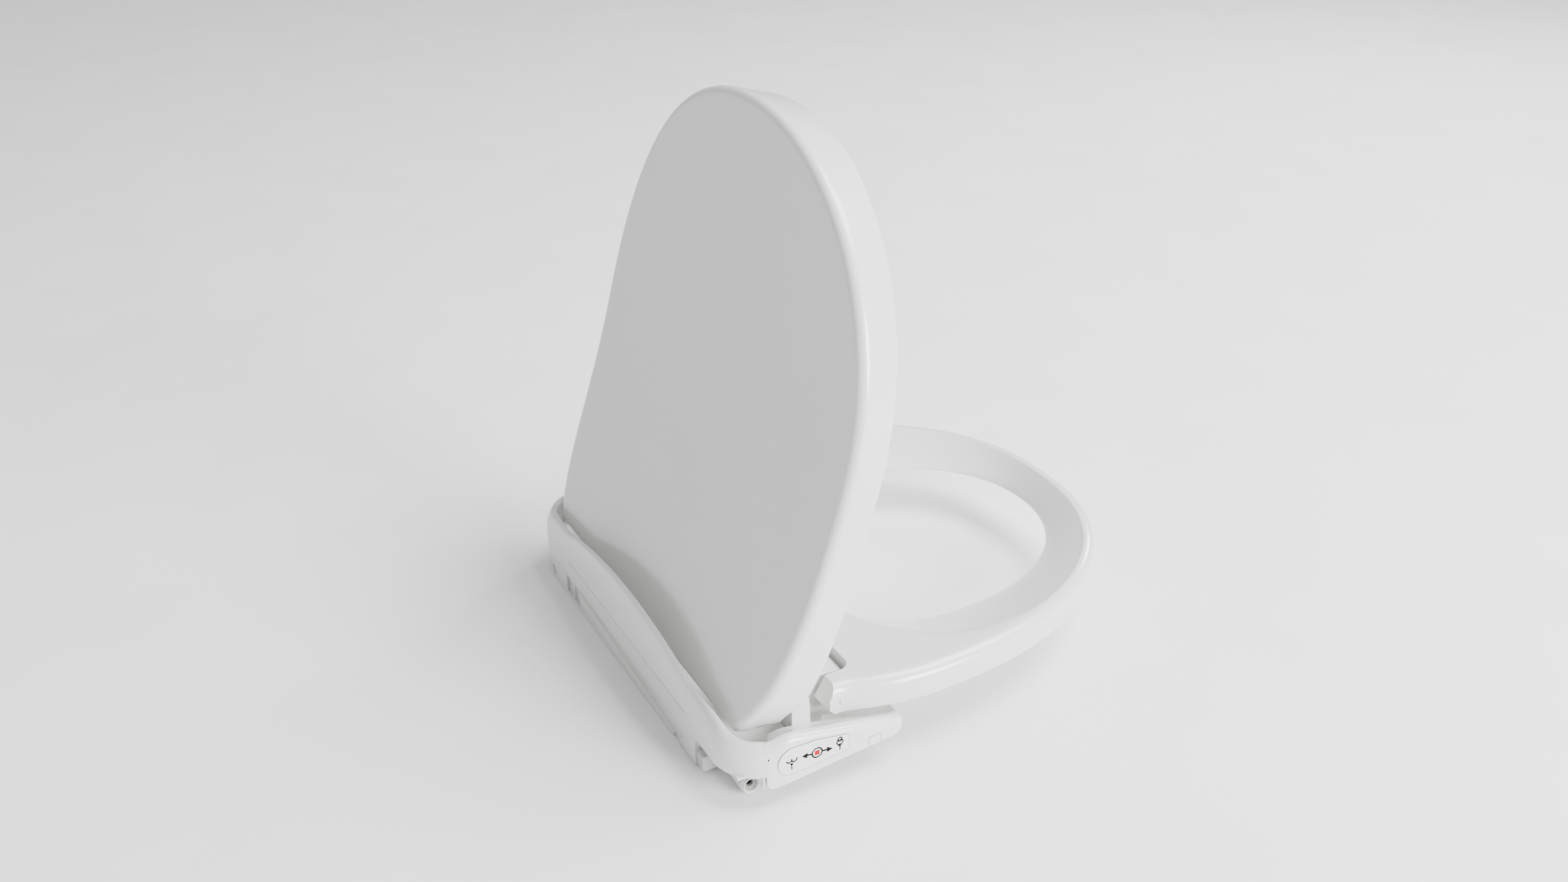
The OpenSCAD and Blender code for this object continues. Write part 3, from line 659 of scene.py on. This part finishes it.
def build_arm():
    """The control arm as sections along y: the housing's corner at the rear, a rounded nose at the front."""
    stations = [24.95, 24.5, 20, 15, 10, 5, 0, -1.5, -4, -8, -12, -16, -20, -24, -26.5, -27.5, -30, -35, -40,
                -45, -50, -55, -60, -64, -68, -71, -74, -76, -77.5, -79, -80.2, -81, -81.6, -81.95]
    rings = []
    for y in stations:
        top, low = arm_crest(y), arm_bottom(y)
        nose = max(0.0, (-70 - y) / 12.0)
        k = 1 - math.sqrt(max(0.0, 1 - nose * nose))
        top, low = top + (NOSE_Z - top) * k, low + (NOSE_Z - 0.4 - low) * k
        shrink = 7.0 * k
        turn = 0.0
        if y > REAR - CORNER:
            turn = CORNER - math.sqrt(max(0.0, CORNER * CORNER - (y - (REAR - CORNER)) ** 2))
        end = ease(20.3, 26.0, -27 - y)
        end -= shrink + turn
        h = top - low
        deep = 5.7 * (1 - k)
        blend = ease(0, 1, (24.95 - y) / 16)
        rear_side = RIM_SECTION + [(9.9, 6.0)]
        arm_side = [(0, min(12, 0.5 * h)), (0.12, 0.27 * h), (0.35, 0.19 * h), (0.9, 0.12 * h), (1.8, 0.06 * h),
                    (3.0, 0.025 * h), (4.4, 0.004 * h), (6.0, 0.0), (7.6, 0.02 * deep), (9.4, 0.16 * deep),
                    (11.4, 0.42 * deep), (14.0, 0.72 * deep), (18.0, 0.94 * deep), (26.0, deep)]
        shoulder = top - 22
        if shoulder > low:
            side = [low, mix(low, shoulder, 0.3), mix(low, shoulder, 0.65)]
        else:
            side = [low, low + 0.05 * h, low + 0.1 * h]
        s = [(0.0, z) for z in side]
        s += [(mix(a[0], b[0], blend), top - mix(a[1], b[1], blend)) for a, b in zip(rear_side, arm_side)]
        s = [(min(d, end), max(z, low + 0.01 * q)) for q, (d, z) in enumerate(s)]
        s += [(end, mix(s[-1][1], low, 0.5)), (end, low)]
        x0 = -ARM_FACE + shrink + turn
        rings.append([(x0 + d, y, z) for d, z in s])
    obj = piece("arm_skin", *rings_mesh(rings), "base", ["arm_shell"], "white_gloss")
    plates = join(block((-187.7, 25.7, 17.8), (-175.5, 26.6, 25.5)),
                  block((-187.2, 28.3, 17.8), (-175.5, 29.2, 25.5)))
    piece("arm_plates", *plates, "base", [], "white_gloss", smooth=False)
    inside = prism_x([(30.0, 5.0), (30.0, 40.0), (-20.0, 32.0), (-66.0, 27.0), (-66.0, 5.0)],
                     -ARM_X + 2.4, -176.8)
    wide = prism_x([(-28.5, 5.0), (-28.5, 30.0), (-66.0, 25.0), (-66.0, 5.0)], -177.0, -164.2)
    x0, x1 = -ARM_X - 2, -173.0
    relief = lathe_x([(x0, 0.01), (x0, 9.0), (x1, 9.0), (x1, 0.01)], INLET_Y, INLET_Z)
    carve(obj, inside, wide, relief)
    crease(obj, 42)


build_arm()


def build_deck():
    """The deck between the ears, the two knuckle blocks beside it and the far shoulder."""
    front, rear = DECK_FRONT, DECK_REAR
    section = [(front, SEAM + 0.1), (rear, SEAM + 0.1), (rear, 65.8), (-12, 65.4), (-20, 64.5),
               (front + 5, 60.8), (front, 56.2)]
    deck = piece("deck_skin", *prism_x(section, -DECK_HALF, DECK_HALF), "base", ["deck_cover"], "white_gloss")
    carve(deck,
          block((-DECK_HALF + 3, front + 3, 10), (DECK_HALF - 3, rear + 5, 57)),
          block((-34, front - 2, 10), (34, front + 5, 30)))
    shade(deck)
    soften(deck, 3.2, angle=30, segments=5)
    x0, x1 = KNUCKLE
    section = [(-18.5, SEAM + 0.1), (rear, SEAM + 0.1), (rear, 67), (-9.0, 66.5), (-16.4, 63.5), (-17.4, 56)]
    shoulder = block((x1 + 0.05, -21.4, SEAM + 0.1), (HOUSE - 9, rear, 46))
    shape = join(prism_x(section, -x1, -x0), prism_x(section, x0, x1), shoulder)
    knuckles = piece("knuckle_skin", *shape, "base", ["hinge_knuckles"], "white_gloss")
    carve(knuckles, block((-166, -15.5, 10), (-149, 1, 34)))
    shade(knuckles)
    soften(knuckles, 2.6, angle=30, segments=5)


build_deck()


# ---------------------------------------------------------------- inlet, button, tab
def build_inlet():
    """The threaded inlet, its collar, boss and stepped bore as one turned profile."""
    lo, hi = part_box("inlet_spigot")
    x0, x1 = lo.x / MM, hi.x / MM
    r, root, bore, neck = 7.15, 6.35, 5.0, 3.6
    pitch = 25.4 / 24 * 1.5                     # coarser than the real 24 per inch, so that the ridges read
    prof = [(x0, bore + 0.5), (x0, root - 0.25), (x0 + 0.9, root + 0.2)]
    x = x0 + 1.6
    while x < x0 + 20:
        prof += [(x, root), (x + pitch * 0.34, r), (x + pitch * 0.56, r), (x + pitch * 0.9, root)]
        x += pitch
    prof += [(x + 0.6, root + 0.1), (x + 1.4, r - 0.35), (-146.6, r - 0.35), (-146.0, 7.5), (-145.6, 7.7),
             (-126.7, 7.7), (-126.5, 7.25), (-122.1, 7.25), (-122.0, 5.3), (x1, 5.3),
             (x1, neck), (-124.2, neck), (-124.2, bore), (x0 + 0.5, bore)]
    obj = piece("inlet_skin", *lathe_x(prof, INLET_Y, INLET_Z, 96), "base", ["inlet_spigot"], "white_under")
    soften(obj, 0.12, angle=35, segments=2)


build_inlet()


def strip(points, width, x, closed=False):
    """Flat ribbon through (y, z) points on the arm's outer face, a little proud of it."""
    pts = points + (points[:1] if closed else [])
    verts, faces = [], []
    n = len(pts)
    for i, (y, z) in enumerate(pts):
        if closed:
            a, b = pts[(i - 1) % (n - 1)], pts[(i + 1) % (n - 1)]
        else:
            a, b = pts[max(i - 1, 0)], pts[min(i + 1, n - 1)]
        ty, tz = b[0] - a[0], b[1] - a[1]
        s = math.hypot(ty, tz) or 1.0
        oy, oz = -tz / s * width / 2, ty / s * width / 2
        for xx in (x, x + INK_THICK):
            verts += [(xx, y + oy, z + oz), (xx, y - oy, z - oz)]
    for i in range(n - 1):
        k = 4 * i
        faces += [(k, k + 1, k + 5, k + 4), (k + 2, k + 6, k + 7, k + 3),
                  (k, k + 4, k + 6, k + 2), (k + 1, k + 3, k + 7, k + 5)]
    if not closed:
        faces += [(0, 2, 3, 1), (4 * n - 4, 4 * n - 3, 4 * n - 1, 4 * n - 2)]
    return verts, faces


def arc(y, z, r, a0, a1, count=24, ry=None):
    """(y, z) points of an arc in degrees; ry widens it along y."""
    turns = [math.radians(mix(a0, a1, i / count)) for i in range(count + 1)]
    return [(y + (ry or r) * math.cos(a), z + r * math.sin(a)) for a in turns]


def patch(points, x):
    """A thin plate with a (y, z) outline on the arm's outer face."""
    v = [(x, y, z) for y, z in points] + [(x + INK_THICK, y, z) for y, z in points]
    n = len(points)
    sides = [(i, (i + 1) % n, (i + 1) % n + n, i + n) for i in range(n)]
    return v, [tuple(range(n)), tuple(range(2 * n - 1, n - 1, -1))] + sides


def build_legend():
    """The film with the wash, stop and wash symbols, and the small tab. Grey lines of painted shade run along the
    film's edge and the tab's gap. The ink lies in front.
    """
    x, film_x = -ARM_X + 0.02, -ARM_X + 0.06
    line_x = x + 0.02

    def spray(y, z, half, top, side, tip, inner):
        """A jet under a symbol: a vee, a stem and two finer lines."""
        return [strip([(y + half, z - top), (y, z - tip), (y - half, z - side)], 0.6, x),
                strip([(y, z - top), (y, z - 6.6)], 0.85, x),
                strip([(y + 0.8, z - top), (y + 0.1, z - inner)], 0.4, x),
                strip([(y - 0.8, z - top), (y - 0.1, z - inner)], 0.3, x)]

    # the film's outline: a big arc at the rear, small corners at the front
    film = (arc(6, 32.5, 11.5, -62, 78, 20, ry=12.5) + [(-10, 43.2), (-28, 39.5)]
            + arc(-32.6, 35.8, 3.2, 80, 180, 8) + [(-36, 31), (-36, 27)]
            + arc(-33.5, 26.2, 1.6, 180, 250, 5) + [(-20, 23.9), (0, 21.9)])
    piece("legend_plate", *patch(film, film_x), "base", ["legend_panel"], "panel_film", smooth=False)
    # stop: a ring between two arrows
    marks = [strip(arc(-11, 32.2, 3.8, 0, 360, 48)[:-1], 1.05, x, closed=True),
             strip([(-14.8, 32.0), (-19.2, 31.5)], 1.25, x),
             patch([(-18.3, 34.0), (-23.0, 31.1), (-18.9, 29.2)], x),
             strip([(-7.2, 32.5), (-3.2, 33.0)], 1.25, x),
             patch([(-3.9, 35.1), (0.8, 33.5), (-3.3, 30.6)], x)]
    # rear wash: two curves over a jet
    y, z = 8.3, 32.5
    marks += [strip(arc(y + 1.9, z + 1.9, 2.1, 165, 350, 16, ry=2.0), 1.0, x),
              strip(arc(y - 1.9, z + 1.6, 2.1, 165, 350, 16, ry=2.0), 1.0, x)]
    marks += spray(y, z, 1.7, 1.2, 1.4, 2.9, 2.7)
    # front wash: a small figure over a jet
    y, z = -28.6, 33.6
    marks += [strip(arc(y, z + 2.6, 1.6, 0, 360, 20)[:-1], 0.95, x, closed=True),
              strip(arc(y, z + 0.3, 1.9, 0, 360, 20, ry=2.4)[:-1], 0.95, x, closed=True)]
    marks += spray(y, z, 1.8, 1.9, 2.0, 3.4, 3.2)
    piece("legend_marks", *join(*marks), "base", ["legend_icons"], "legend_ink", smooth=False)
    square = patch([(-12.9, 30.4), (-9.2, 30.2), (-9.1, 34.0), (-12.8, 34.2)], x)
    stop = piece("legend_stop", *square, "base", [], "legend_ink", smooth=False)
    stop.data.materials[0] = RED
    # a grey line round the film: painted shade along its edge
    outline = strip(film, 0.3, line_x, closed=True)
    edge = piece("legend_edge_shade", *outline, "base", [], "legend_ink", smooth=False)
    edge.data.materials[0] = SHADE_LINE
    tab = [(-61.4, 21.1), (-52.0, 20.4), (-51.8, 27.6), (-61.2, 28.2)]
    piece("tab_skin", *patch(tab, film_x), "base", ["service_tab"], "white_gloss", smooth=False)
    # a grey line round three sides of the tab: painted shade in the gap around it
    seam_shade = strip([(-52.0, 20.4), (-51.8, 27.9), (-61.4, 28.5), (-61.5, 21.1)], 0.35, line_x)
    tab_seam_shade = piece("tab_seam_shade", *seam_shade, "base", [], "legend_ink", smooth=False)
    tab_seam_shade.data.materials[0] = SHADE_LINE


build_legend()


# ---------------------------------------------------------------- stage, light and camera
def area(name, place, aim, size, watts):
    """A round soft light at a place, turned to what it lights."""
    light = bpy.data.lights.new(name, "AREA")
    light.shape = "DISK"
    light.size = size
    light.energy = watts
    obj = bpy.data.objects.new(name, light)
    bpy.context.scene.collection.objects.link(obj)
    obj.location = place
    obj.rotation_euler = (Vector(aim) - Vector(place)).to_track_quat("-Z", "Y").to_euler()


def build_stage():
    """A wide light floor just under the seat, an even surround and three soft lights."""
    size = 14.0
    mesh = bpy.data.meshes.new("floor")
    corners = [(-size, -size, 0), (size, -size, 0), (size, size, 0), (-size, size, 0)]
    mesh.from_pydata(corners, [], [(0, 1, 2, 3)])
    floor = bpy.data.objects.new("floor", mesh)
    bpy.context.scene.collection.objects.link(floor)
    floor.location.z = -0.0006
    mesh.materials.append(plastic("stage_paper", (0.96, 0.96, 0.96), 0.75, bump=0.05, wear=0.0, spec=0.15))
    world = bpy.data.worlds.new("studio")
    bpy.context.scene.world = world
    world.use_nodes = True
    put(world.node_tree.nodes["Background"], Color=(1, 1, 1, 1), Strength=0.72)
    area("key", (-2.6, -1.0, 1.1), (0, -0.1, 0.15), 1.4, 185)
    area("top", (-0.5, -1.4, 2.6), (0, -0.2, 0.0), 1.8, 130)
    area("glint", (0.9, -2.2, 1.2), (0, -0.2, 0.05), 0.45, 16)


build_stage()


def build_camera():
    """From behind on the arm's side, looking down. The camera lies back from a point it looks through."""
    lens, distance, through = 33.15, 0.752, (-0.2552, 0.0460, 0.3147)
    azimuth, elevation, roll = math.radians(241.8), math.radians(28.3), math.radians(-1.0)
    cam = bpy.data.cameras.new("camera")
    obj = bpy.data.objects.new("camera", cam)
    bpy.context.scene.collection.objects.link(obj)
    cam.sensor_width = 36.0
    cam.lens = lens
    cam.clip_start, cam.clip_end = 0.01, 60.0
    back = Vector((math.sin(azimuth) * math.cos(elevation), -math.cos(azimuth) * math.cos(elevation),
                   math.sin(elevation)))
    right = Vector((0, 0, 1)).cross(back).normalized()
    up = back.cross(right)
    x_axis = right * math.cos(roll) + up * math.sin(roll)
    y_axis = -right * math.sin(roll) + up * math.cos(roll)
    place = Matrix((x_axis, y_axis, back)).transposed().to_4x4()
    place.translation = Vector(through) + back * distance
    obj.matrix_world = place
    bpy.context.scene.camera = obj


build_camera()
